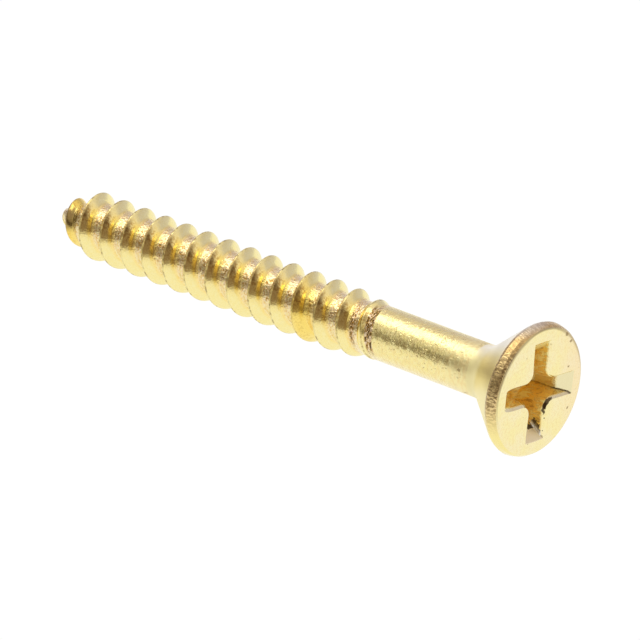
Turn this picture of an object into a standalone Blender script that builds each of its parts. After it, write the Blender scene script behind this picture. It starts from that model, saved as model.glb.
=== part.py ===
"""Countersunk wood screw with a cross recess, in brass.

Each solid is modelled upright, head up, with the screw's axis on Z and the flat of the head at z = 0,
so a distance "along" the axis is measured downwards from that flat. The parent empty then lays the
screw down: the head faces +X, the point is at -X, and the origin is the centre of the head's flat.

A real screw is one piece of metal. It is divided here where its working sections meet, and the
neighbours touch on flat faces square to the axis.
"""

import math

import bmesh
import bpy
from mathutils import Matrix

# Driving dimensions, in metres
LENGTH = 0.0381
PITCH = 0.001743
MAJOR_RADIUS = 0.002083
ROOT_RADIUS = 0.00142
SHANK_RADIUS = 0.001655

# Head: a flat face, a short sloping rim, a 79 degree cone and a fillet into the shank
FACE_RADIUS = 0.00390
RIM_RADIUS = 0.00413
RIM_WIDEST_AT = 0.00058
RIM_BACK_RADIUS = 0.00406
RIM_BACK_AT = 0.00076
CONE_HALF_ANGLE = math.radians(39.5)
FILLET_RADIUS = 0.0015

# Cross recess: its turn about the axis, and by depth half of its span, half of a wing's width and
# the radius between two wings. The first section is above the flat, so that the cut is clean. A broken
# edge comes first, then wing ends that slope at 45 degrees, then nearly straight walls.
RECESS_TURN = math.radians(-10.4)
RECESS_TIP_DEPTH = 0.0026
RECESS_SECTIONS = (
    (-0.0002, 0.00332, 0.000901, 0.00044),
    (0.00014, 0.00298, 0.000610, 0.00085),
    (0.00072, 0.00240, 0.000460, 0.00110),
    (0.0020, 0.00210, 0.000360, 0.00115),
)
RECESS_CORNER_STEPS = 5

# Thread: it fades out into the shank at one end and tapers to the gimlet point at the other
THREAD_FROM = 0.0120
CORE_FADE = 1.75 * PITCH
CREST_FADE = 1.85 * PITCH
CREST_FADE_POWER = 0.6
FIRST_CREST = 0.011816
# One tooth: (fraction of a pitch towards the point, height from 0 to 1), with the crest at 0
TOOTH = (
    (-0.35, 0.00),
    (-0.27, 0.20),
    (-0.10, 0.84),
    (-0.03, 1.00),
    (0.03, 1.00),
    (0.25, 0.05),
    (0.45, 0.00),
)
POINT_LENGTH = 1.75 * PITCH
POINT_CORE_LENGTH = 1.3 * PITCH
POINT_RISE_LENGTH = 0.28 * PITCH
POINT_CREST_SHARE = 0.53
POINT_CREST_GAIN = 0.24
NUB_RADIUS = 0.0003

# Facets
HEAD_SIDES = 64
THREAD_SIDES = 32
FILLET_STEPS = 6

BRASS_YELLOW = (0.88, 0.75, 0.40, 1.0)
BRASS_PALE = (0.93, 0.84, 0.56, 1.0)
BRASS_ROLLED = (0.80, 0.65, 0.36, 1.0)


def clear_scene():
    for obj in list(bpy.data.objects):
        bpy.data.objects.remove(obj, do_unlink=True)


def new_collection(name):
    collection = bpy.data.collections.new(name)
    bpy.context.scene.collection.children.link(collection)
    return collection


def new_brass(name, colour, roughness):
    material = bpy.data.materials.new(name)
    material.use_nodes = True
    shader = material.node_tree.nodes["Principled BSDF"]
    shader.inputs["Base Color"].default_value = colour
    shader.inputs["Metallic"].default_value = 1.0
    shader.inputs["Roughness"].default_value = roughness
    return material


def new_object(name, mesh, collection, parent=None, material=None):
    obj = bpy.data.objects.new(name, mesh)
    collection.objects.link(obj)
    obj.parent = parent
    if material:
        mesh.materials.append(material)
    return obj


def ramp(low, high, value):
    return min(max((value - low) / (high - low), 0.0), 1.0)


def smoothstep(low, high, value):
    part = ramp(low, high, value)
    return part * part * (3.0 - 2.0 * part)


def shade_round(mesh, sharp_degrees=35):
    mesh.shade_smooth()
    mesh.set_sharp_from_angle(angle=math.radians(sharp_degrees))


# ---------------------------------------------------------------- turned pieces


def neck_end():
    """Where the fillet under the cone meets the shank."""
    cone_drop = (RIM_BACK_RADIUS - SHANK_RADIUS) / math.tan(CONE_HALF_ANGLE)
    return RIM_BACK_AT + cone_drop + FILLET_RADIUS * math.tan(CONE_HALF_ANGLE / 2)


def head_profile():
    """(radius, depth) down the outside of the head, from the centre of its flat back to the axis."""
    end = neck_end()
    points = [
        (0.0, 0.0),
        (FACE_RADIUS, 0.0),
        (0.5 * (FACE_RADIUS + RIM_RADIUS) + 0.00003, 0.5 * RIM_WIDEST_AT - 0.00006),
        (RIM_RADIUS, RIM_WIDEST_AT),
        (RIM_BACK_RADIUS, RIM_BACK_AT),
    ]
    for step in range(FILLET_STEPS + 1):
        angle = CONE_HALF_ANGLE * (1.0 - step / FILLET_STEPS)
        radius = SHANK_RADIUS + FILLET_RADIUS * (1.0 - math.cos(angle))
        points.append((radius, end - FILLET_RADIUS * math.sin(angle)))
    points.append((0.0, end))
    return points


def shank_profile():
    start = neck_end()
    return [(0.0, start), (SHANK_RADIUS, start), (SHANK_RADIUS, THREAD_FROM), (0.0, THREAD_FROM)]


def turned_object(name, profile, collection, parent, material):
    """A profile of (radius, depth) turned about the axis with a Screw modifier."""
    mesh = bpy.data.meshes.new(name)
    lines = [(index, index + 1) for index in range(len(profile) - 1)]
    mesh.from_pydata([(radius, 0.0, -depth) for radius, depth in profile], lines, [])
    obj = new_object(name, mesh, collection, parent, material)
    turn = obj.modifiers.new("Turn", "SCREW")
    turn.steps = HEAD_SIDES
    turn.render_steps = HEAD_SIDES
    turn.use_merge_vertices = True
    turn.merge_threshold = 1e-6
    return obj


# ---------------------------------------------------------------- cross recess


def wing_quarter(span, width, corner):
    """Outline of one quarter of the cross: a wing's end, its side and the rounded corner after it."""
    points = [(span, -width), (span, width)]
    for step in range(RECESS_CORNER_STEPS + 1):
        angle = math.radians(-90.0 - 90.0 * step / RECESS_CORNER_STEPS)
        centre = width + corner
        points.append((centre + corner * math.cos(angle), centre + corner * math.sin(angle)))
    return points


def cross_loop(bm, depth, span, width, corner):
    """One section of the recess as a ring of vertices, four equal quarters."""
    ring = []
    for quarter in range(4):
        turn = Matrix.Rotation(RECESS_TURN + quarter * math.pi / 2, 3, "Z")
        for x, y in wing_quarter(span, width, corner):
            ring.append(bm.verts.new(turn @ Matrix.Translation((x, y, -depth)).to_translation()))
    return ring


def make_recess_cutter(collection, parent):
    """Tapered cross-shaped solid: the sections are lofted, and the bottom runs down to a blunt tip."""
    bm = bmesh.new()
    rings = [cross_loop(bm, *section) for section in RECESS_SECTIONS]
    for upper, lower in zip(rings, rings[1:]):
        for index in range(len(upper)):
            after = (index + 1) % len(upper)
            bm.faces.new((upper[index], upper[after], lower[after], lower[index]))
    bm.faces.new(rings[0])
    tip = bm.verts.new((0.0, 0.0, -RECESS_TIP_DEPTH))
    last = rings[-1]
    for index in range(len(last)):
        bm.faces.new((last[index], last[(index + 1) % len(last)], tip))
    bmesh.ops.recalc_face_normals(bm, faces=bm.faces)
    mesh = bpy.data.meshes.new("recess_cutter")
    bm.to_mesh(mesh)
    bm.free()
    cutter = new_object("recess_cutter", mesh, collection, parent)
    cutter.hide_render = True
    cutter.display_type = "WIRE"
    return cutter


# ---------------------------------------------------------------- thread


def core_radius(depth):
    """Radius at the bottom of the thread."""
    faded = smoothstep(THREAD_FROM, THREAD_FROM + CORE_FADE, depth)
    radius = SHANK_RADIUS + (ROOT_RADIUS - SHANK_RADIUS) * faded
    share = min((LENGTH - depth) / POINT_CORE_LENGTH, 1.0)
    return NUB_RADIUS + (radius - NUB_RADIUS) * share


def crest_radius(depth):
    """Radius at the top of the thread. At the blunt point it starts steeply, then widens slowly."""
    faded = ramp(THREAD_FROM, THREAD_FROM + CREST_FADE, depth) ** CREST_FADE_POWER
    radius = SHANK_RADIUS + (MAJOR_RADIUS - SHANK_RADIUS) * faded
    pitches = (LENGTH - depth) / PITCH
    blunt = min(POINT_CREST_SHARE + POINT_CREST_GAIN * pitches ** 2, 1.0)
    rise = smoothstep(0.0, POINT_RISE_LENGTH, LENGTH - depth)
    return max(NUB_RADIUS + (radius * blunt - NUB_RADIUS) * rise, core_radius(depth))


def tooth_height(fraction):
    """Height of the tooth at a fraction of the pitch, read from its outline."""
    closed = TOOTH + ((TOOTH[0][0] + 1.0, TOOTH[0][1]),)
    place = (fraction - TOOTH[0][0]) % 1.0 + TOOTH[0][0]
    for (start, low), (end, high) in zip(closed, closed[1:]):
        if place <= end:
            return low + (high - low) * (place - start) / (end - start)
    return 0.0


def thread_point(depth, angle):
    """A point on the threaded surface. The thread is right-handed."""
    fraction = (depth - FIRST_CREST) / PITCH + angle / (2 * math.pi)
    low = core_radius(depth)
    radius = low + (crest_radius(depth) - low) * tooth_height(fraction)
    return (radius * math.cos(angle), radius * math.sin(angle), -depth)


def row_depths(start, end):
    """Depths, at angle 0, of the grid rows that follow the thread between two depths."""
    first_turn = math.floor((start - FIRST_CREST) / PITCH) - 1
    last_turn = math.ceil((end - FIRST_CREST) / PITCH) + 2
    return [
        FIRST_CREST + PITCH * (turn + fraction)
        for turn in range(first_turn, last_turn)
        for fraction, _ in TOOTH
    ]


def threaded_object(name, start, end, collection, parent, material):
    """The thread and its core between two depths: a grid whose rows climb with the thread."""
    depths = row_depths(start, end)
    bm = bmesh.new()
    bmesh.ops.create_grid(bm, x_segments=THREAD_SIDES, y_segments=len(depths) - 1, size=1.0)
    for vertex in bm.verts:
        column = round((vertex.co.x + 1.0) / 2.0 * THREAD_SIDES)
        row = round((vertex.co.y + 1.0) / 2.0 * (len(depths) - 1))
        depth = depths[row] - PITCH * column / THREAD_SIDES
        depth = min(max(depth, start), end)
        vertex.co = thread_point(depth, 2 * math.pi * (column % THREAD_SIDES) / THREAD_SIDES)
    bmesh.ops.remove_doubles(bm, verts=bm.verts, dist=1e-7)
    bmesh.ops.holes_fill(bm, edges=bm.edges, sides=0)
    bmesh.ops.triangulate(bm, faces=bm.faces)
    bmesh.ops.recalc_face_normals(bm, faces=bm.faces)
    mesh = bpy.data.meshes.new(name)
    bm.to_mesh(mesh)
    bm.free()
    shade_round(mesh)
    return new_object(name, mesh, collection, parent, material)


# ---------------------------------------------------------------- the screw


def main():
    clear_scene()
    parts = new_collection("wood_screw")
    cutters = new_collection("cutters")

    lay_down = bpy.data.objects.new("wood_screw_axis", None)
    lay_down.rotation_euler = (0.0, math.pi / 2, 0.0)
    parts.objects.link(lay_down)

    polished = new_brass("polished brass", BRASS_PALE, 0.15)
    satin = new_brass("satin brass", BRASS_YELLOW, 0.35)
    rolled = new_brass("rolled brass", BRASS_ROLLED, 0.28)

    head = turned_object("head", head_profile(), parts, lay_down, polished)
    recess = head.modifiers.new("Cross recess", "BOOLEAN")
    recess.operation = "DIFFERENCE"
    recess.solver = "EXACT"
    recess.object = make_recess_cutter(cutters, lay_down)

    turned_object("shank", shank_profile(), parts, lay_down, satin)
    point_from = LENGTH - POINT_LENGTH
    threaded_object("threaded_shaft", THREAD_FROM, point_from, parts, lay_down, rolled)
    threaded_object("gimlet_point", point_from, LENGTH, parts, lay_down, rolled)


main()
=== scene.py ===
"""Looks of the countersunk brass wood screw.

The screw lies along X: the flat of its head is at x = 0 and faces +X, and its point is at -X. A distance
"along" the axis is measured from that flat towards the point, and an angle about the axis is 0 straight
down. Each CAD node gets a fine mesh of the same shape, with rounded edges, a worn surface and a procedural
brass. Masks on the points of the meshes tell the brass where it is hammered, stained or torn, and where
light and shade are painted into its colour.
"""

import functools
import math

import bmesh
import bpy
from mathutils import Matrix, Vector, noise


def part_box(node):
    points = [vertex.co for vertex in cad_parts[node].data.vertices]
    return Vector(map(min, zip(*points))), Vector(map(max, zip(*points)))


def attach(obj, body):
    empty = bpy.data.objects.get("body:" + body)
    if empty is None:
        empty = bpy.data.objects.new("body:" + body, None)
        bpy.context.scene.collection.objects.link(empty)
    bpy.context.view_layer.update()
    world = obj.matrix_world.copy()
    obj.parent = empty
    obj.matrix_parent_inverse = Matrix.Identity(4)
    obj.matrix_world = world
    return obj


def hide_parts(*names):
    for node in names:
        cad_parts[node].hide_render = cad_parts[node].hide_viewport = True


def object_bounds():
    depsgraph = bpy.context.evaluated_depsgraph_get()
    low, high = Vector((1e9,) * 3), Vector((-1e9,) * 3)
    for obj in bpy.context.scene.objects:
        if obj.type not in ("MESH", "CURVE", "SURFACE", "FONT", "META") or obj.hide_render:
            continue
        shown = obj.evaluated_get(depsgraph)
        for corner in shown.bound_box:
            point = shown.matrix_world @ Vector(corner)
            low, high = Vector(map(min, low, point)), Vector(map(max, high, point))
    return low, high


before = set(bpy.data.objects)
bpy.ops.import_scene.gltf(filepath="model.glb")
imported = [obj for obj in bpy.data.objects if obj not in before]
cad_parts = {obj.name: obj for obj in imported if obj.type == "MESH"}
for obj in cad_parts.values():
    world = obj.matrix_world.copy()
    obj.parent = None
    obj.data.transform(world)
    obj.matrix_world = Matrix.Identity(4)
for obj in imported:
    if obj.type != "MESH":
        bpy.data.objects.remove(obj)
cad_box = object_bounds()

# ---------------------------------------------------------------- sizes, in metres and radians

MM = 0.001
LENGTH = -cad_box[0].x
RIM_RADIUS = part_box("head")[1].z
SHANK_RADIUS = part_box("shank")[1].z
NECK_END = -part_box("head")[0].x
THREAD_FROM = -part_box("shank")[0].x
POINT_FROM = -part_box("threaded_shaft")[0].x

# Head
FACE_RADIUS = 3.90 * MM
RIM_WIDEST_AT = 0.58 * MM
RIM_BACK_RADIUS = 4.06 * MM
RIM_BACK_AT = 0.76 * MM
CONE_HALF_ANGLE = math.radians(39.5)
FILLET_RADIUS = 1.5 * MM
# How far the middle of the rim's front bulges beyond a straight bevel, outwards and towards the face
RIM_BULGE = (0.03 * MM, 0.06 * MM)
# Rounded edge of the face: radius beyond the face's own, and distance along
FACE_EDGE = ((0.01 * MM, 0.03 * MM), (-0.02 * MM, 0.008 * MM), (-0.07 * MM, 0.0))
# Hammered dents in the rim: their depth, the values of noise it grows over, and the size and weight of
# each grain of that noise
DENT_DEPTH = 0.010 * MM
DENT_NOISE = (-0.6, 1.0)
DENT_GRAINS = ((0.16 * MM, 1.0), (0.07 * MM, 0.5))
# Dents in the face: place across and up, and radius, in millimetres
FACE_NICKS = (
    (2.6, 2.8, 0.16), (2.95, 2.2, 0.12), (2.6, -2.1, 0.12),
    (-2.3, 0.6, 0.08), (-1.1, -3.0, 0.10), (2.7, 0.6, 0.09),
)

# Cross recess: by depth, half of its span, half of a wing's width and the radius between two wings
RECESS_TURN = math.radians(-10.4)
RECESS_SECTIONS = (
    (0.00 * MM, 3.12 * MM, 0.730 * MM, 0.680 * MM),
    (0.14 * MM, 2.98 * MM, 0.610 * MM, 0.850 * MM),
    (0.72 * MM, 2.40 * MM, 0.460 * MM, 1.100 * MM),
    (2.00 * MM, 2.10 * MM, 0.360 * MM, 1.150 * MM),
)
RECESS_EDGE = 0.02 * MM
# Below the last section the cross shrinks towards a tip. Its last ring is this far above the tip, and
# none of its sizes goes below the least
RECESS_TIP_DEPTH = 2.6 * MM
RECESS_TIP_GAP = 0.02 * MM
RECESS_LEAST_SIZE = 0.01 * MM
# Wings are numbered anticlockwise from the bottom one, as seen from the front; the left one is 3
BOTTOM, RIGHT, TOP = 0, 1, 2
# The top and bottom wings are wider by this share and lean by this angle, and the bottom wing's sloping
# end goes on down to this span
UPRIGHT_WIDER = 0.13
UPRIGHT_LEAN = 0.025
BOTTOM_WING_SPAN = 2.06 * MM
# How much the corners of each wing's end are rounded, by the wing's number
WING_END_ROUNDS = (0.12 * MM, 0.12 * MM, 0.16 * MM, 0.90 * MM)

# Marks, painted shade and a glint in the recess. A pair is where a mask starts to change and where it has
# changed
WALLS_TARNISH = (0.10 * MM, 0.22 * MM)
END_CORNER = (-0.04 * MM, 0.04 * MM)
# Depth of the foot of a bare wing end, and how far its edge is blurred
END_FOOT = 0.72 * MM
BOTTOM_END_FOOT = 0.60 * MM
END_FOOT_BLUR = 0.06 * MM
# Painted shade in the dark crease at the right wing's corner: by distance from the corner, and by depth,
# where it halves
CREASE_WIDTH = (0.05 * MM, 0.25 * MM)
CREASE_HALVES = (0.7 * MM, 1.2 * MM)
# The bright line at the bottom wing's corner: by distance from the corner, by depth, and below the foot
GLINT_WIDTH = (0.10 * MM, 0.30 * MM)
GLINT_FROM = (0.08 * MM, 0.14 * MM)
GLINT_PAST_FOOT = (0.1 * MM, 0.3 * MM)
# Black painted shade, by the middle and reach of a band: at the mouth between two wings, and on the bottom
# wing's side, where it fades with the distance from the end; and a black band on the bottom wing's end
MOUTH_SHADE_ANGLE = (math.radians(34), math.radians(30))
MOUTH_SHADE_DEPTH = (0.08 * MM, 0.14 * MM)
END_BLACK_BAND_DEPTH = (0.68 * MM, 0.19 * MM)
SIDE_SHADE_DEPTH = (0.42 * MM, 0.5 * MM)
SIDE_SHADE_FADE = (0.2 * MM, 1.0 * MM)

# Thread
PITCH = 1.743 * MM
MAJOR_RADIUS = 2.083 * MM
ROOT_RADIUS = 1.42 * MM
CORE_FADE = 1.75 * PITCH
CREST_FADE = 1.85 * PITCH
CREST_FADE_POWER = 0.6
FIRST_CREST = 11.816 * MM
# One tooth: (fraction of a pitch towards the point, height from 0 to 1), crest in the middle
TOOTH = (
    (-0.50, 0.00), (-0.37, 0.00), (-0.31, 0.07), (-0.25, 0.27), (-0.18, 0.56), (-0.10, 0.83), (-0.04, 0.97),
    (0.00, 1.00), (0.04, 0.96), (0.10, 0.72), (0.24, 0.10), (0.30, 0.00), (0.50, 0.00),
)
POINT_CORE_LENGTH = 1.3 * PITCH
POINT_RISE_LENGTH = 0.28 * PITCH
POINT_CREST_SHARE = 0.53
POINT_CREST_GAIN = 0.24
NUB_RADIUS = 0.3 * MM
NUB_ROUND = 0.22 * MM

# Torn metal where the thread runs out. A streak has the middle and reach of a band in fractions of a
# pitch, and a strength
TEAR_STREAKS = ((0.64, 0.10, 1.0), (0.80, 0.12, 1.0), (1.5, 0.14, 0.7))
TEAR_ANGLE = (math.radians(238), math.radians(75))
# Its depth, the values of noise it grows over, and the grain of that noise and the radius it is taken at
TEAR_DEPTH = 0.06 * MM
TEAR_NOISE = (-0.4, 0.5)
TEAR_GRAIN = 0.5 * MM
TEAR_GRAIN_RADIUS = 9 * MM

# Masks on the thread, the dark flank among them being painted shade. By height of the tooth, where a mask
# starts to change and where it has changed
ROOT_HEIGHT = (0.02, 0.2)
CREST_HEIGHT = (0.95, 0.995)
DARK_FLANK_HEIGHT = (0.60, 0.95)
# Middle and reach of a band, by angle about the axis or by fraction of a pitch
LIT_ANGLE = (4.1, 0.8)
# The shade specks are painted shade: rusty specks on the side of the thread that reflects the dark studio
SHADE_SPECKS_ANGLE = (3.90, 0.50)
# The glow is a painted golden highlight on the lower flank, by angle and by fraction of a pitch
GLOW_ANGLE = (math.radians(219), math.radians(24))
GLOW_FRACTION = (-0.26, 0.11)
# Bands of painted shade at the tip, on the upper flank and on the bed
DARK_TIP_ANGLE = (4.25, 0.75)
DARK_FLANK_ANGLE = (math.radians(219), math.radians(19))
DARK_BED_ANGLE = (math.radians(239), math.radians(22))
STAIN_ANGLE = (4.6, 1.9)
STAIN_FRACTION = (3.7, 0.5)
# Strength of the painted shade at the tip, on the upper flank and on the bed, and of the stain
DARK_TIP_SHARE = 0.9
DARK_FLANK_SHARE = 0.7
DARK_BED_SHARE = 0.40
STAIN_SHARE = 0.8
# The painted golden highlight at the foot of a tooth's upper flank: its middle, and its reach and strength
# where it isn't lit and where it is
FOOT_FRACTION = -0.30
FOOT_REACHES = (0.075, 0.11)
FOOT_SHARES = (0.55, 1.0)
# Distances along where the tip's stain and painted shade start and are full, and where its clean nub starts
# and is full
TIP_STAIN_AND_SHADE = (LENGTH - 2.6 * MM, LENGTH - 1.6 * MM)
CLEAN_NUB = (LENGTH - 0.65 * MM, LENGTH - 0.45 * MM)

# Mesh density
HEAD_COLUMNS = 480
FILLET_STEPS = 10
CONE_STEPS = 14
RIM_BACK_STEPS = 6
RIM_FRONT_STEPS = 7
RIM_EDGE_STEPS = 5
FACE_STEPS = 12
MOUTH_STEPS = 4
RECESS_STEPS = 6
SHANK_COLUMNS = 160
SHANK_STEPS = 160
THREAD_COLUMNS = 144
THREAD_ROWS = 34
# How much the rings of the face crowd at both of its edges, and the thread's rows over the crest
FACE_CROWDING = 0.4
ROW_CROWDING = 0.45
SHARP_ANGLE = math.radians(50)
MERGE_DISTANCE = 1e-7

# Masks kept on the points of the meshes
RECESS_MASKS = ("deep", "pale", "wing_end", "dull_end", "crease_shade", "glint", "shade_and_black_band")
HEAD_MASKS = ("rim", "cone", "edge", *RECESS_MASKS)
THREAD_MASKS = ("root", "crest", "foot", "shade_specks", "lit", "glow", "shade", "stain", "smear")


def place(along, angle, radius):
    """A point by its distance along the axis, its angle about it and its radius."""
    return (-along, radius * math.sin(angle), -radius * math.cos(angle))


def ramp(low, high, value):
    """0 up to a low value and 1 from a high one, straight between them."""
    return min(max((value - low) / (high - low), 0.0), 1.0)


def smoothstep(low, high, value):
    """0 up to a low value and 1 from a high one, with a smooth rise between them."""
    part = ramp(low, high, value)
    return part * part * (3.0 - 2.0 * part)


def mix(low, high, share):
    return low + (high - low) * share


def band(value, middle, reach):
    """1 at the middle of a band, falling smoothly to 0 at its edges."""
    return 1.0 - smoothstep(0.3 * reach, reach, abs(value - middle))


# ---------------------------------------------------------------- mesh building


def finish_piece(name, bm, body, node, material):
    """Closes up the mesh as an object that rides on the body and stands for the CAD node."""
    bmesh.ops.recalc_face_normals(bm, faces=bm.faces)
    mesh = bpy.data.meshes.new(name)
    bm.to_mesh(mesh)
    bm.free()
    mesh.shade_smooth()
    mesh.set_sharp_from_angle(angle=SHARP_ANGLE)
    mesh.materials.append(material)
    obj = bpy.data.objects.new(name, mesh)
    bpy.context.scene.collection.objects.link(obj)
    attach(obj, body)
    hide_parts(node)
    return obj


def mask_layers(bm, names):
    """A layer of numbers on the points for each mask, to be made before the points are."""
    return {name: bm.verts.layers.float.new(name) for name in names}


def set_masks(vert, layers, masks):
    for name, value in masks.items():
        vert[layers[name]] = value


def ring_angles(columns):
    return [2 * math.pi * index / columns for index in range(columns)]


def ring_points(angles, radii, along):
    return [place(along, angle, radius) for angle, radius in zip(angles, radii)]


def skin_rings(bm, rings):
    """Quads between rings of the same number of points, with both ends closed by a fan."""
    verts = [[bm.verts.new(point) for point in ring] for ring in rings]
    for upper, lower in zip(verts, verts[1:]):
        for index in range(len(upper)):
            after = (index + 1) % len(upper)
            bm.faces.new((upper[index], upper[after], lower[after], lower[index]))
    for ring in (verts[0], verts[-1]):
        middle = sum((vert.co for vert in ring), Vector()) / len(ring)
        centre = bm.verts.new(middle)
        for index in range(len(ring)):
            bm.faces.new((ring[index], ring[(index + 1) % len(ring)], centre))
    return verts


# ---------------------------------------------------------------- head


def line(start, end, steps):
    """Points from start towards end, without the end itself."""
    return [
        (mix(start[0], end[0], step / steps), mix(start[1], end[1], step / steps))
        for step in range(steps)
    ]


def head_outline():
    """(radius, distance along) of the cone with its fillet, of the rim and of the face's edge, in turn."""
    fillet = []
    for step in range(FILLET_STEPS + 1):
        angle = CONE_HALF_ANGLE * step / FILLET_STEPS
        radius = SHANK_RADIUS + FILLET_RADIUS * (1.0 - math.cos(angle))
        fillet.append((radius, NECK_END - FILLET_RADIUS * math.sin(angle)))
    outwards, towards_face = RIM_BULGE
    rim_back = (RIM_BACK_RADIUS, RIM_BACK_AT)
    rim_widest = (RIM_RADIUS, RIM_WIDEST_AT)
    rim_front = (mix(FACE_RADIUS, RIM_RADIUS, 0.5) + outwards, 0.5 * RIM_WIDEST_AT - towards_face)
    edge = [(FACE_RADIUS + beyond, along) for beyond, along in FACE_EDGE]
    rim = line(rim_back, rim_widest, RIM_BACK_STEPS)
    rim += line(rim_widest, rim_front, RIM_FRONT_STEPS)
    rim += line(rim_front, edge[0], RIM_EDGE_STEPS)
    return {"cone": fillet[:-1] + line(fillet[-1], rim_back, CONE_STEPS), "rim": rim, "edge": edge}


def nearest_wing(angle):
    """Number of the wing at this angle, and the turn from its middle."""
    quarter = math.pi / 2
    turns = (angle - RECESS_TURN) / quarter
    wing = round(turns) % 4
    turn = (turns - round(turns)) * quarter
    if wing in (BOTTOM, TOP):
        share = 1.0 - smoothstep(quarter / 8, quarter / 2, abs(turn))
        turn -= share * (UPRIGHT_LEAN + UPRIGHT_WIDER * turn)
    return wing, turn


def cross_reach(angle, depth):
    """Distances from the axis to the end of a wing and to its side or corner, at this angle and depth."""
    span, width, corner = recess_section(depth)
    wing, turn = nearest_wing(angle)
    turn = abs(turn)
    if wing == BOTTOM:
        span = min(span, max(RECESS_SECTIONS[0][1] - depth, BOTTOM_WING_SPAN))
    end = span / math.cos(turn)
    middle = width + corner
    side = width / max(math.sin(turn), 1e-6)
    if side * math.cos(turn) < middle:
        near = middle * (math.cos(turn) + math.sin(turn))
        side = near - math.sqrt(max(corner ** 2 - 2 * middle ** 2 + near ** 2, 0.0))
    return end, side


def cross_radius(angle, depth):
    """Distance from the axis to the outline of the cross at this angle and depth."""
    end, side = cross_reach(angle, depth)
    wing, _ = nearest_wing(angle)
    return smooth_least(end, side, WING_END_ROUNDS[wing])


def smooth_least(first, second, blend):
    """The smaller of two lengths, rounded over where they are nearly equal."""
    share = max(blend - abs(first - second), 0.0) / blend
    return min(first, second) - share * share * blend / 4


def recess_section(depth):
    """Span, width and corner of the recess at a depth, between the given sections or towards the tip."""
    for upper, lower in zip(RECESS_SECTIONS, RECESS_SECTIONS[1:]):
        if depth <= lower[0]:
            share = (depth - upper[0]) / (lower[0] - upper[0])
            return [mix(upper[index], lower[index], share) for index in (1, 2, 3)]
    last = RECESS_SECTIONS[-1]
    share = (RECESS_TIP_DEPTH - depth) / (RECESS_TIP_DEPTH - last[0])
    return [max(size * share, RECESS_LEAST_SIZE) for size in last[1:]]


def recess_depths():
    """Depths of the rings in the recess, in even steps from its edge to each section and to the tip."""
    stops = [RECESS_EDGE] + [section[0] for section in RECESS_SECTIONS[1:]]
    stops.append(RECESS_TIP_DEPTH - RECESS_TIP_GAP)
    steps = range(1, RECESS_STEPS + 1)
    return [mix(low, high, step / RECESS_STEPS) for low, high in zip(stops, stops[1:]) for step in steps]


def head_rings(angles):
    """(kind, points) of each ring, from the neck over the rim and across the face into the recess."""
    rings = []
    for kind, outline in head_outline().items():
        for radius, along in outline:
            rings.append((kind, ring_points(angles, [radius] * len(angles), along)))
    outer = FACE_RADIUS + FACE_EDGE[-1][0]
    mouth = [cross_radius(angle, 0.0) + RECESS_EDGE for angle in angles]
    for step in range(1, FACE_STEPS):
        share = mix(step / FACE_STEPS, smoothstep(0, 1, step / FACE_STEPS), FACE_CROWDING)
        rings.append(("face", ring_points(angles, [mix(outer, radius, share) for radius in mouth], 0.0)))
    for step in range(MOUTH_STEPS + 1):
        rolled = math.radians(90 * step / MOUTH_STEPS)
        offset = RECESS_EDGE * (1 - math.sin(rolled))
        along = RECESS_EDGE * (1 - math.cos(rolled))
        radii = [cross_radius(angle, along) + offset for angle in angles]
        rings.append(("recess", ring_points(angles, radii, along)))
    for along in recess_depths():
        radii = [cross_radius(angle, along) for angle in angles]
        rings.append(("recess", ring_points(angles, radii, along)))
    return rings


def recess_masks(depth, angle):
    """Tarnished walls, pale and bare wing ends, painted shade in the crease and the glint at two corners,
    black painted shade at the mouth and on a side, and a black band on an end.
    """
    end, side = cross_reach(angle, depth)
    wing, turn = nearest_wing(angle)
    from_corner = abs(side - end)
    on_end = smoothstep(*END_CORNER, side - end)
    bare = on_end if wing in (BOTTOM, RIGHT) else 0.0
    foot = BOTTOM_END_FOOT if wing == BOTTOM else END_FOOT
    below_foot = smoothstep(foot - END_FOOT_BLUR, foot + END_FOOT_BLUR, depth)
    masks = dict.fromkeys(RECESS_MASKS, 0.0)
    masks["deep"] = mix(smoothstep(*WALLS_TARNISH, depth), below_foot, bare)
    masks["shade_and_black_band"] = band(angle, *MOUTH_SHADE_ANGLE) * band(depth, *MOUTH_SHADE_DEPTH)
    if wing in (RIGHT, TOP):
        masks["pale"] = on_end
    if wing == RIGHT:
        masks["wing_end"] = bare * (1.0 - below_foot)
    if wing == RIGHT and turn < 0.0:
        strength = mix(1.0, 0.5, smoothstep(*CREASE_HALVES, depth))
        masks["crease_shade"] = strength * (1.0 - smoothstep(*CREASE_WIDTH, from_corner))
    if wing == BOTTOM:
        masks["dull_end"] = bare * (1.0 - below_foot)
        masks["shade_and_black_band"] = max(masks["shade_and_black_band"], bare * band(depth, *END_BLACK_BAND_DEPTH))
    if wing == BOTTOM and turn > 0.0:
        near_end = 1.0 - smoothstep(*SIDE_SHADE_FADE, end - side)
        masks["shade_and_black_band"] = max(masks["shade_and_black_band"], (1.0 - bare) * near_end * band(depth, *SIDE_SHADE_DEPTH))
        past_foot = smoothstep(foot + GLINT_PAST_FOOT[0], foot + GLINT_PAST_FOOT[1], depth)
        strength = smoothstep(*GLINT_FROM, depth) * (1.0 - past_foot)
        masks["glint"] = strength * (1.0 - smoothstep(*GLINT_WIDTH, from_corner))
    return masks


def roughen_rim(vert):
    """Moves a point of the rim inwards by a grain of hammered dents."""
    grain = sum(weight * noise.noise(vert.co / size) for size, weight in DENT_GRAINS)
    depth = DENT_DEPTH * ramp(*DENT_NOISE, grain)
    radial = Vector((0.0, vert.co.y, vert.co.z))
    vert.co -= radial.normalized() * depth


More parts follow.
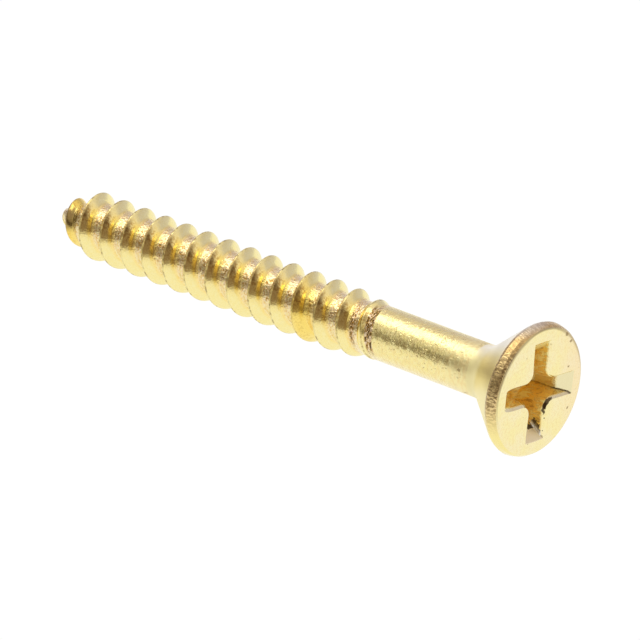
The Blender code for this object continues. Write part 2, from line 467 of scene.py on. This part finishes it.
def make_head(material):
    bm = bmesh.new()
    layers = mask_layers(bm, HEAD_MASKS)
    angles = ring_angles(HEAD_COLUMNS)
    rings = head_rings(angles)
    verts = skin_rings(bm, [points for _, points in rings])
    for (kind, _), ring in zip(rings, verts):
        for angle, vert in zip(angles, ring):
            if kind in HEAD_MASKS:
                vert[layers[kind]] = 1.0
            if kind == "rim":
                roughen_rim(vert)
            if kind == "recess":
                set_masks(vert, layers, recess_masks(-vert.co.x, angle))
    return finish_piece("screw_head", bm, "root", "head", material)


# ---------------------------------------------------------------- shank


def pitch_fraction(along, angle):
    """Pitches from the thread's first crest towards the point: a whole number on every crest."""
    return (along - FIRST_CREST) / PITCH + angle / (2 * math.pi)


def smear_share(along, angle):
    """How much the metal is torn up where the thread runs out into the shank."""
    fraction = pitch_fraction(along, angle)
    streak = max(strength * band(fraction, middle, reach) for middle, reach, strength in TEAR_STREAKS)
    return streak * band(angle, *TEAR_ANGLE)


def torn_depth(along, angle):
    """How far the torn metal of the run-out lies below the surface."""
    grain = noise.noise(Vector(place(along, angle, TEAR_GRAIN_RADIUS)) / TEAR_GRAIN)
    return TEAR_DEPTH * smear_share(along, angle) * ramp(*TEAR_NOISE, grain)


def make_shank(material):
    bm = bmesh.new()
    layers = mask_layers(bm, ("smear",))
    angles = ring_angles(SHANK_COLUMNS)
    rings = []
    for step in range(SHANK_STEPS + 1):
        along = mix(NECK_END, THREAD_FROM, step / SHANK_STEPS)
        radii = [SHANK_RADIUS - torn_depth(along, angle) for angle in angles]
        rings.append(ring_points(angles, radii, along))
    for ring in skin_rings(bm, rings):
        for angle, vert in zip(angles, ring):
            vert[layers["smear"]] = smear_share(-vert.co.x, angle)
    return finish_piece("plain_shank", bm, "root", "shank", material)


# ---------------------------------------------------------------- thread and point


def core_radius(along):
    """Radius at the bottom of the thread."""
    faded = smoothstep(THREAD_FROM, THREAD_FROM + CORE_FADE, along)
    radius = mix(SHANK_RADIUS, ROOT_RADIUS, faded)
    share = min((LENGTH - along) / POINT_CORE_LENGTH, 1.0)
    return mix(NUB_RADIUS, radius, share)


def crest_radius(along):
    """Radius at the top of the thread. At the blunt point it starts steeply, then widens slowly."""
    faded = ramp(THREAD_FROM, THREAD_FROM + CREST_FADE, along) ** CREST_FADE_POWER
    radius = mix(SHANK_RADIUS, MAJOR_RADIUS, faded)
    pitches = (LENGTH - along) / PITCH
    blunt = min(POINT_CREST_SHARE + POINT_CREST_GAIN * pitches ** 2, 1.0)
    rise = smoothstep(0.0, POINT_RISE_LENGTH, LENGTH - along)
    return max(mix(NUB_RADIUS, radius * blunt, rise), core_radius(along))


def nub_share(along):
    """1 along the screw, falling to 0 over the rounded end of the point."""
    left = ramp(0.0, NUB_ROUND, LENGTH - along)
    return math.sqrt(max(1.0 - (1.0 - left) ** 2, 0.0))


def from_crest(fraction):
    """The part of a pitch from the nearest crest, -0.5 to 0.5, above 0 towards the point."""
    return (fraction + 0.5) % 1.0 - 0.5


def tooth_height(fraction):
    """Height of the tooth at a fraction of the pitch, as a smooth curve through its outline."""
    offset = from_crest(fraction)
    slopes = tooth_slopes()
    for index, ((start, low), (end, high)) in enumerate(zip(TOOTH, TOOTH[1:])):
        if offset <= end:
            width = end - start
            part = (offset - start) / width
            rise = part * part * (3.0 - 2.0 * part)
            leave = part * (1.0 - part) ** 2 * width * slopes[index]
            arrive = part * part * (part - 1.0) * width * slopes[index + 1]
            return mix(low, high, rise) + leave + arrive
    return 0.0


@functools.cache
def tooth_slopes():
    """Slope at each point of the outline: none at a flat or a top, else between those of its two sides."""
    sides = [(high - low) / (end - start) for (start, low), (end, high) in zip(TOOTH, TOOTH[1:])]
    slopes = [0.0]
    for before, after in zip(sides, sides[1:]):
        slopes.append(2 * before * after / (before + after) if before * after > 0 else 0.0)
    return slopes + [0.0]


def row_fractions():
    """Fractions of a pitch for the grid's rows, closer together over the crest."""
    half = THREAD_ROWS // 2
    fractions = []
    for row in range(THREAD_ROWS):
        share = (row - half) / half
        fractions.append(mix(share, share * abs(share), ROW_CROWDING) / 2)
    return fractions


def thread_point(along, angle, height):
    """A point of the thread, by the height of its tooth there."""
    radius = mix(core_radius(along), crest_radius(along), height) * nub_share(along)
    return place(along, angle, radius - torn_depth(along, angle))


def thread_masks(along, angle, fraction, height):
    """Root, crest and foot of the tooth, where it is lit, stained or torn, and where it has specks of painted
    shade, a painted golden highlight and painted shade.
    """
    offset = from_crest(fraction)
    lit = band(angle, *LIT_ANGLE)
    root = 1.0 - smoothstep(*ROOT_HEIGHT, height)
    flank = smoothstep(*DARK_FLANK_HEIGHT, height) if offset < 0.0 else 0.0
    tip = smoothstep(*TIP_STAIN_AND_SHADE, along) * (1.0 - smoothstep(*CLEAN_NUB, along))
    stained_turn = band(fraction, *STAIN_FRACTION) * band(angle, *STAIN_ANGLE)
    return {
        "root": root,
        "crest": smoothstep(*CREST_HEIGHT, height),
        "foot": band(offset, FOOT_FRACTION, mix(*FOOT_REACHES, lit)) * mix(*FOOT_SHARES, lit),
        "shade_specks": band(angle, *SHADE_SPECKS_ANGLE),
        "lit": lit,
        "glow": band(offset, *GLOW_FRACTION) * band(angle, *GLOW_ANGLE),
        "shade": max(
            DARK_TIP_SHARE * tip * band(angle, *DARK_TIP_ANGLE),
            DARK_FLANK_SHARE * flank * band(angle, *DARK_FLANK_ANGLE),
            DARK_BED_SHARE * root * band(angle, *DARK_BED_ANGLE),
        ),
        "stain": max(STAIN_SHARE * stained_turn, tip),
        "smear": smear_share(along, angle),
    }


def make_threaded(name, node, start, end, material):
    """The thread and its core between two places: a grid whose rows climb with the thread."""
    bm = bmesh.new()
    layers = mask_layers(bm, THREAD_MASKS)
    first_turn = math.floor((start - FIRST_CREST) / PITCH) - 1
    last_turn = math.ceil((end - FIRST_CREST) / PITCH) + 2
    rows = [
        FIRST_CREST + PITCH * (turn + fraction)
        for turn in range(first_turn, last_turn)
        for fraction in row_fractions()
    ]
    grid = []
    for row in rows:
        ring = []
        for column in range(THREAD_COLUMNS + 1):
            along = row - PITCH * column / THREAD_COLUMNS
            along = min(max(along, start), end)
            angle = 2 * math.pi * (column % THREAD_COLUMNS) / THREAD_COLUMNS
            fraction = pitch_fraction(along, angle)
            height = tooth_height(fraction)
            vert = bm.verts.new(thread_point(along, angle, height))
            set_masks(vert, layers, thread_masks(along, angle, fraction, height))
            ring.append(vert)
        grid.append(ring)
    for upper, lower in zip(grid, grid[1:]):
        for column in range(THREAD_COLUMNS):
            after = column + 1
            bm.faces.new((upper[column], upper[after], lower[after], lower[column]))
    bmesh.ops.remove_doubles(bm, verts=bm.verts, dist=MERGE_DISTANCE)
    bmesh.ops.holes_fill(bm, edges=bm.edges, sides=0)
    return finish_piece(name, bm, "root", node, material)


# ---------------------------------------------------------------- materials

# Linear colours, roughly from pale to dark
WASHED = (0.97, 0.92, 0.76)
BONE = (1.0, 0.86, 0.52)
CREAM = (0.925, 0.82, 0.48)
PALE = (0.93, 0.82, 0.40)
YELLOW = (0.92, 0.785, 0.32)
STRAW = (1.0, 0.86, 0.32)
HONEY = (1.0, 0.80, 0.22)
GREY = (0.82, 0.74, 0.44)
COPPER = (0.93, 0.74, 0.50)
AMBER = (0.95, 0.69, 0.19)
STAIN = (0.95, 0.70, 0.15)
ORANGE = (1.0, 0.66, 0.12)
RIM_GOLD = (0.83, 0.62, 0.29)
BROWN = (0.84, 0.60, 0.24)
RUST = (0.50, 0.27, 0.05)
DARK = (0.30, 0.20, 0.08)
BLACK = (0.08, 0.05, 0.02)

# Painted light and shade on the hammered rim, by height: a painted highlight at the top, painted shade over
# its bright band and darker painted shade lower down. Each has the height of its middle and its reach in
# millimetres, a colour and a share
RIM_LIGHT_AND_SHADE = ((4.2, 0.40, WASHED, 0.8), (3.65, 0.6, RUST, 0.45), (1.8, 0.9, DARK, 0.5))

# Sockets of the mix node that take its two colours and give the result
FIRST_COLOUR, SECOND_COLOUR, MIXED_COLOUR = 6, 7, 2


class Nodes:
    """Short calls for building a node tree. Places and depths are in millimetres."""

    def __init__(self, tree):
        self.tree = tree
        tree.nodes.clear()

    def add(self, kind, inputs=None, **settings):
        node = self.tree.nodes.new(kind)
        for key, value in settings.items():
            setattr(node, key, value)
        for key, value in (inputs or {}).items():
            if isinstance(value, bpy.types.NodeSocket):
                self.tree.links.new(value, node.inputs[key])
            else:
                node.inputs[key].default_value = value
        return node

    def position(self, stretch=(1, 1, 1)):
        """Object coordinates in millimetres, times a stretch on each axis."""
        coordinates = self.add("ShaderNodeTexCoord").outputs["Object"]
        scale = tuple(1000 * part for part in stretch)
        return self.add("ShaderNodeMapping", {"Vector": coordinates, "Scale": scale}).outputs[0]

    def axes(self, vector):
        """X, Y and Z of a vector."""
        parts = self.add("ShaderNodeSeparateXYZ", {"Vector": vector}).outputs
        return parts["X"], parts["Y"], parts["Z"]

    def noise(self, scale, detail=2.0, stretch=(1, 1, 1), roughness=0.5):
        """Noise with so many grains in a millimetre."""
        return self.add(
            "ShaderNodeTexNoise",
            {"Vector": self.position(stretch), "Scale": scale, "Detail": detail, "Roughness": roughness},
        ).outputs["Fac"]

    def vector_math(self, operation, inputs):
        return self.add("ShaderNodeVectorMath", inputs, operation=operation).outputs

    def wobbly_position(self, scale, size):
        """The position, shifted by a noisy offset of up to that size."""
        clouds = self.add("ShaderNodeTexNoise", {"Vector": self.position(), "Scale": scale})
        centred = self.vector_math("SUBTRACT", {0: clouds.outputs["Color"], 1: (0.5, 0.5, 0.5)})[0]
        offset = self.vector_math("SCALE", {0: centred, "Scale": 2.0 * size})[0]
        return self.vector_math("ADD", {0: self.position(), 1: offset})[0]

    def range(self, value, low, high, start=0.0, end=1.0):
        """Start at the low value and end at the high one, straight between and constant beyond them."""
        return self.add(
            "ShaderNodeMapRange",
            {"Value": value, "From Min": low, "From Max": high, "To Min": start, "To Max": end},
        ).outputs["Result"]

    def math(self, operation, first, second=0.5):
        return self.add("ShaderNodeMath", {0: first, 1: second}, operation=operation).outputs[0]

    def times(self, first, second):
        return self.math("MULTIPLY", first, second)

    def plus(self, first, second):
        return self.math("ADD", first, second)

    def minus(self, first, second):
        return self.math("SUBTRACT", first, second)

    def most(self, first, *others):
        """The largest of some values."""
        for other in others:
            first = self.math("MAXIMUM", first, other)
        return first

    def away(self, value, middle):
        """How far a value is from a middle."""
        return self.math("ABSOLUTE", self.minus(value, middle))

    def colour(self, share, first, second):
        """A mix of two colours, by the share of the second."""
        node = self.add("ShaderNodeMix", {"Factor": share}, data_type="RGBA")
        for index, value in ((FIRST_COLOUR, first), (SECOND_COLOUR, second)):
            if isinstance(value, bpy.types.NodeSocket):
                self.tree.links.new(value, node.inputs[index])
            else:
                node.inputs[index].default_value = (*value, 1.0)
        return node.outputs[MIXED_COLOUR]

    def mask(self, name):
        return self.add("ShaderNodeAttribute", attribute_name=name).outputs["Fac"]

    def bump(self, height, depth, normal=None):
        """The normal with a bump of that depth over it."""
        inputs = {"Height": height, "Distance": depth * MM, "Strength": 1.0}
        if normal:
            inputs["Normal"] = normal
        return self.add("ShaderNodeBump", inputs).outputs["Normal"]

    def metal(self, colour, roughness, normal, metallic=1.0):
        shader = self.add(
            "ShaderNodeBsdfPrincipled",
            {"Base Color": colour, "Metallic": metallic, "Roughness": roughness, "Normal": normal},
        )
        self.add("ShaderNodeOutputMaterial", {"Surface": shader.outputs[0]})


def new_material(name):
    material = bpy.data.materials.new(name)
    material.use_nodes = True
    return material, Nodes(material.node_tree)


def face_nicks(n):
    """1 in each of the small dents in the head's face, with uneven outlines."""
    ragged = n.wobbly_position(5, 0.12)
    total = 0.0
    for across, up, radius in FACE_NICKS:
        distance = n.vector_math("DISTANCE", {0: ragged, 1: (0.0, across, up)})["Value"]
        total = n.plus(total, n.range(distance, radius, 0.6 * radius))
    return n.math("MINIMUM", n.times(total, 0.8), 1.0)


def face_colour(n, y, waves, grain):
    """The polished face: coppery at its right, with brown grain, dark specks and nicks."""
    colour = n.colour(n.range(waves, 0.35, 0.65), CREAM, PALE)
    colour = n.colour(n.range(y, 1.6, 3.8, 0.0, 0.6), colour, COPPER)
    colour = n.colour(n.range(grain, 0.55, 0.30, 0.0, 0.30), colour, BROWN)
    specks = n.range(n.noise(3.2, 3), 0.70, 0.77)
    colour = n.colour(n.times(specks, 0.6), colour, DARK)
    return n.colour(face_nicks(n), colour, DARK)


def rim_colour(n, height, hammer_marks, beaten):
    """The hammered rim: gold with painted light and shade by its height, and with dark dents."""
    gold = RIM_GOLD
    for middle, reach, tone, share in RIM_LIGHT_AND_SHADE:
        gold = n.colour(n.range(n.away(height, middle), reach, 0.3 * reach, 0.0, share), gold, tone)
    dents = n.times(n.range(hammer_marks, 0.58, 0.44), beaten)
    return n.colour(n.times(dents, 0.85), gold, DARK)


def with_cone(n, colour, cone, x, y, height):
    """The colour with the cone over it, washed out towards its top by a painted highlight, and olive beside
    the rim as painted shade.
    """
    towards_top = n.minus(height, n.math("ABSOLUTE", y))
    colour = n.colour(cone, colour, n.colour(n.range(towards_top, 0.4, 1.8), PALE, WASHED))
    rim_shade = n.times(n.range(x, -2.8, -1.4, 0.0, 0.3), n.range(n.away(height, 2.2), 1.3, 0.4))
    return n.colour(n.times(cone, rim_shade), colour, DARK)


def tarnish_colour(n, streaks):
    """Straw to orange tarnish with rust-brown streaks and lines, paler on two of the wing ends."""
    tarnish = n.colour(n.range(streaks, 0.40, 0.52), STRAW, ORANGE)
    tarnish = n.colour(n.range(streaks, 0.57, 0.64, 0.0, 0.75), tarnish, RUST)
    tarnish = n.colour(n.range(n.away(streaks, 0.47), 0.014, 0.004, 0.0, 0.7), tarnish, RUST)
    pale = n.times(n.mask("pale"), n.range(streaks, 0.66, 0.50, 0.2, 0.9))
    return n.colour(pale, tarnish, STRAW)


def with_recess(n, colour, deep, grain, streaks):
    """The colour with the recess's bare ends, tarnish, black painted shade in the crease, at the mouth and on
    a side, a black band on an end, and glint over it.
    """
    colour = n.colour(n.times(n.mask("wing_end"), 0.9), colour, GREY)
    colour = n.colour(n.times(n.mask("dull_end"), 0.9), colour, BONE)
    colour = n.colour(deep, colour, tarnish_colour(n, streaks))
    # Black painted shade in the crease, at the mouth and on the bottom wing's side, and a black band on its
    # end, all made ragged by grain
    ragged_shade_and_band = n.plus(n.mask("shade_and_black_band"), n.range(grain, 0.3, 0.7, -0.45, 0.35))
    black = n.most(n.mask("crease_shade"), n.range(ragged_shade_and_band, 0.45, 0.60))
    colour = n.colour(n.times(black, 0.95), colour, BLACK)
    return n.colour(n.mask("glint"), colour, WASHED)


def head_brass():
    material, n = new_material("polished_brass")
    x, y, height = n.axes(n.position())
    rim = n.mask("rim")
    cone = n.mask("cone")
    deep = n.mask("deep")
    dull_end = n.mask("dull_end")
    waves = n.noise(0.9, 2)
    grain = n.noise(6, 3)
    streaks = n.noise(1.3, 4, (1.2, 0.5, 3.8), 0.6)
    hammer_marks = n.noise(8.0, 3, (0.45, 1, 1))
    # The rim is hammered above its lowest part, and beaten hardest a little above the middle
    hammered = n.times(rim, n.range(height, -1.6, 0.4))
    beaten = n.range(n.away(height, 1.4), 2.4, 0.9, 0.45, 1.0)

    colour = n.colour(rim, face_colour(n, y, waves, grain), YELLOW)
    colour = n.colour(hammered, colour, rim_colour(n, height, hammer_marks, beaten))
    colour = with_cone(n, colour, cone, x, y, height)
    edge = n.times(n.mask("edge"), n.range(height, -1.0, 1.5, 0.0, 0.6))
    colour = n.colour(edge, colour, DARK)
    colour = with_recess(n, colour, deep, grain, streaks)

    normal = n.bump(waves, 0.02)
    normal = n.bump(n.times(hammer_marks, n.times(hammered, beaten)), 0.055, normal)
    normal = n.bump(n.times(streaks, deep), 0.10, normal)

    roughness = n.plus(n.range(hammered, 0.0, 1.0, 0.16, 0.26), n.times(cone, 0.24))
    roughness = n.plus(roughness, n.times(deep, 0.16))
    roughness = n.plus(roughness, n.times(dull_end, 0.20))

    # The neck looks soft, as if out of focus, so it reflects less, like the tarnish and the dull end
    neck = n.times(cone, n.range(x, -3.0, -3.6))
    dull = n.most(deep, neck, dull_end, n.mask("glint"))
    n.metal(colour, roughness, normal, n.range(dull, 0.0, 1.0, 1.0, 0.35))
    return material


def with_torn_metal(n, colour):
    """The colour with the copper and dark streaks of the run-out over it, and the height of the tears."""
    smear = n.mask("smear")
    tears = n.noise(4, 3, (3, 1, 1), 0.6)
    torn = n.colour(n.range(tears, 0.50, 0.56), RUST, COPPER)
    torn = n.colour(n.range(tears, 0.46, 0.40), torn, BLACK)
    share = n.range(smear, 0.1, 0.6, 0.0, 0.95)
    return n.colour(share, colour, torn), n.times(tears, smear)


def shank_brass():
    material, n = new_material("satin_brass")
    x, _, height = n.axes(n.position())
    scratches = n.noise(1.0, 3, (6, 2.5, 2.5), 0.6)
    grain = n.noise(5, 2)
    dents = n.noise(3.4, 3, (0.7, 1, 1))
    dashes = n.range(n.noise(2.6, 2, (1.6, 0.7, 1)), 0.60, 0.66)

    # Painted paler on the underside as a reflection of the white table and at the neck as a washed-out
    # highlight, with brown scratches and dark pits in the dents
    colour = n.colour(n.range(grain, 0.3, 0.7), YELLOW, PALE)
    colour = n.colour(n.range(height, -0.5, -1.4, 0.0, 0.5), colour, WASHED)
    colour = n.colour(n.range(x, -7.0, -4.5, 0.0, 0.5), colour, CREAM)
    colour = n.colour(n.range(scratches, 0.55, 0.40, 0.0, 0.4), colour, BROWN)
    colour = n.colour(n.range(dents, 0.34, 0.29, 0.0, 0.7), colour, DARK)
    colour, tears = with_torn_metal(n, colour)

    normal = n.bump(scratches, 0.038)
    normal = n.bump(dashes, 0.012, normal)
    normal = n.bump(grain, 0.006, normal)
    normal = n.bump(dents, 0.014, normal)
    normal = n.bump(tears, 0.10, normal)

    roughness = n.plus(n.range(grain, 0.3, 0.7, 0.22, 0.30), n.range(x, -6.2, -4.3, 0.0, 0.20))
    n.metal(colour, roughness, normal)
    return material


def bed_colour(n, height, grain, lit):
    """The thread's bed: below, cream as a painted reflection of the white table, and above, grainy copper
    with brown spots and with rusty specks of painted shade where it is lit.
    """
    copper = n.colour(n.range(grain, 0.46, 0.66), COPPER, PALE)
    bed = n.colour(n.range(height, -0.9, 0.3), CREAM, copper)
    bed = n.colour(n.range(grain, 0.47, 0.38), bed, BROWN)
    return n.colour(n.times(lit, n.range(grain, 0.44, 0.34, 0.0, 0.75)), bed, RUST)


def thread_brass():
    material, n = new_material("rolled_brass")
    _, _, height = n.axes(n.position())
    root = n.mask("root")
    crest = n.mask("crest")
    foot = n.mask("foot")
    lit = n.mask("lit")
    glow = n.mask("glow")
    stain = n.mask("stain")
    grain = n.noise(7, 3)

    # Yellow flanks, amber where they are lit and with a painted golden highlight at their foot, over a
    # coppery bed
    colour = n.colour(n.range(grain, 0.3, 0.7), YELLOW, PALE)
    colour = n.colour(n.times(lit, 0.40), colour, AMBER)
    colour = n.colour(root, colour, bed_colour(n, height, grain, lit))
    colour = n.colour(n.times(foot, 0.85), colour, AMBER)
    colour = n.colour(stain, colour, STAIN)
    # A painted honey highlight on the lower flank, where the glow is
    colour = n.colour(n.times(glow, 0.9), colour, HONEY)

    # Rusty specks of painted shade on the dark side and in the stain, then the painted shade, and darker,
    # uneven lines along the crests
    shade_specks = n.minus(n.plus(n.mask("shade_specks"), n.times(stain, 0.4)), foot)
    specks = n.times(n.most(shade_specks, 0.0), n.range(grain, 0.52, 0.42, 0.0, 0.65))
    colour = n.colour(specks, colour, RUST)
    colour = n.colour(n.mask("shade"), colour, DARK)
    crest_darkening = n.range(n.noise(4, 2), 0.48, 0.62, 0.10, 0.8)
    colour = n.colour(n.times(crest, crest_darkening), colour, DARK)
    colour, tears = with_torn_metal(n, colour)

    pits = n.times(n.noise(6, 3), n.times(root, n.range(height, -0.9, 0.2)))
    normal = n.bump(pits, 0.07)
    normal = n.bump(grain, 0.008, normal)
    normal = n.bump(tears, 0.10, normal)

    roughness = n.plus(n.range(root, 0.0, 1.0, 0.20, 0.28), n.times(crest, 0.2))
    roughness = n.minus(roughness, n.times(glow, 0.08))
    n.metal(colour, roughness, normal)
    return material


# ---------------------------------------------------------------- floor, light and camera

FLOOR_RADIUS = 3.0
FLOOR_CORNERS = 96
FLOOR_LEVEL = 1.02


def make_floor():
    """A plain white table that is lit from within, so that nothing casts a shadow on it."""
    bm = bmesh.new()
    bmesh.ops.create_circle(bm, cap_ends=True, segments=FLOOR_CORNERS, radius=FLOOR_RADIUS)
    mesh = bpy.data.meshes.new("floor")
    bm.to_mesh(mesh)
    bm.free()
    material, n = new_material("white_table")
    glow = n.add("ShaderNodeEmission", {"Color": (1.0, 1.0, 1.0, 1.0), "Strength": FLOOR_LEVEL})
    n.add("ShaderNodeOutputMaterial", {"Surface": glow.outputs[0]})
    mesh.materials.append(material)
    floor = bpy.data.objects.new("floor", mesh)
    floor.location = (LENGTH * -0.5, 0.0, cad_box[0].z)
    bpy.context.scene.collection.objects.link(floor)


# (height of a direction, colour of the light that comes from there)
FRONT_LIGHT = (
    (-0.10, (1.00, 1.00, 1.00)), (0.03, (0.62, 0.60, 0.56)), (0.12, (0.20, 0.17, 0.13)),
    (0.35, (0.20, 0.17, 0.13)), (0.47, (0.62, 0.60, 0.54)), (0.60, (0.76, 0.73, 0.68)),
    (0.80, (0.82, 0.78, 0.74)),
)
BACK_LIGHT = (
    (-0.05, (1.00, 1.00, 1.02)), (0.02, (0.70, 0.69, 0.85)), (0.30, (0.65, 0.63, 0.79)),
    (0.50, (0.63, 0.59, 0.68)), (0.62, (0.76, 0.71, 0.76)), (0.80, (0.90, 0.84, 0.86)),
)
# Y of the directions where the front light has just ended and where the back light is full
BACK_FROM = (-0.1, 0.15)
# The bright fill beyond the head: its direction, the cosines of its edge and core, and its colour
FILL_TOWARDS = (0.77, 0.40, 0.49)
FILL_COSINES = (0.92, 0.98)
FILL_LIGHT = (0.95, 0.88, 0.85)
# The dark studio around the camera, which fades out below the horizon
STUDIO_TOWARDS = (0.80, -0.48, 0.35)
STUDIO_COSINES = (0.77, 0.85)
STUDIO_ABOVE = (-0.15, 0.08)
STUDIO_LIGHT = (0.25, 0.185, 0.14)
# The softbox above the point: middle, edge and core on a direction's X and Y, and the Z it starts at
SOFTBOX_LENGTHWAYS = (-0.40, 0.44, 0.36)
SOFTBOX_ACROSS = (-0.03, 0.29, 0.22)
SOFTBOX_ABOVE = (0.60, 0.66)
SOFTBOX_LEVEL = 2.5


def light_by_height(n, height, stops):
    """The colour of the light by the height of a direction."""
    levels = n.add("ShaderNodeValToRGB", {"Fac": n.range(height, -1.0, 1.0)})
    elements = levels.color_ramp.elements
    while len(elements) < len(stops):
        elements.new(0.5)
    for element, (at, light) in zip(elements, stops):
        element.position = (at + 1.0) / 2.0
        element.color = (*light, 1.0)
    return levels.outputs["Color"]


def nearness(n, direction, towards, edge, core):
    """1 for directions around a given one, falling to 0 from one angle's cosine to another's."""
    cosine = n.vector_math("DOT_PRODUCT", {0: direction, 1: towards})["Value"]
    return n.range(cosine, edge, core)


def strip(n, value, middle, edge, core):
    """1 for values near a middle, falling to 0 from the core's distance to the edge's."""
    return n.range(n.away(value, middle), edge, core)


def make_light():
    """A white tent with a dark gap in front, a grey back, a fill, a dark studio and a softbox."""
    world = bpy.data.worlds.new("light_tent")
    world.use_nodes = True
    n = Nodes(world.node_tree)
    direction = n.add("ShaderNodeTexCoord").outputs["Generated"]
    x, y, height = n.axes(direction)
    front = light_by_height(n, height, FRONT_LIGHT)
    back = light_by_height(n, height, BACK_LIGHT)
    level = n.colour(n.range(y, *BACK_FROM), front, back)
    fill = nearness(n, direction, FILL_TOWARDS, *FILL_COSINES)
    level = n.colour(fill, level, FILL_LIGHT)
    around_camera = nearness(n, direction, STUDIO_TOWARDS, *STUDIO_COSINES)
    studio = n.times(around_camera, n.range(height, *STUDIO_ABOVE))
    level = n.colour(studio, level, STUDIO_LIGHT)
    softbox = n.times(strip(n, y, *SOFTBOX_ACROSS), strip(n, x, *SOFTBOX_LENGTHWAYS))
    softbox = n.times(softbox, n.range(height, *SOFTBOX_ABOVE))
    level = n.colour(softbox, level, (SOFTBOX_LEVEL,) * 3)
    glow = n.add("ShaderNodeBackground", {"Color": level, "Strength": 1.0})
    n.add("ShaderNodeOutputWorld", {"Surface": glow.outputs[0]})
    bpy.context.scene.world = world


CAMERA_AT = (0.19673, -0.24055, 0.16163)
CAMERA_YAW = math.radians(41.626)
CAMERA_PITCH = math.radians(26.772)
CAMERA_ROLL = math.radians(-1.108)
CAMERA_LENS = 336.81
CAMERA_SENSOR = 36.0
CAMERA_CLIP = (0.01, 20.0)


def make_camera():
    data = bpy.data.cameras.new("camera")
    data.lens = CAMERA_LENS
    data.sensor_width = CAMERA_SENSOR
    data.clip_start, data.clip_end = CAMERA_CLIP
    camera = bpy.data.objects.new("camera", data)
    turn = Matrix.Rotation(CAMERA_YAW, 4, "Z") @ Matrix.Rotation(math.pi / 2 - CAMERA_PITCH, 4, "X")
    camera.matrix_world = Matrix.Translation(CAMERA_AT) @ turn @ Matrix.Rotation(CAMERA_ROLL, 4, "Z")
    bpy.context.scene.collection.objects.link(camera)
    bpy.context.scene.camera = camera


make_camera()
make_light()
make_floor()
make_head(head_brass())
make_shank(shank_brass())
rolled = thread_brass()
make_threaded("screw_thread", "threaded_shaft", THREAD_FROM, POINT_FROM, rolled)
make_threaded("screw_point", "gimlet_point", POINT_FROM, LENGTH, rolled)
bpy.context.scene.view_settings.view_transform = "Standard"
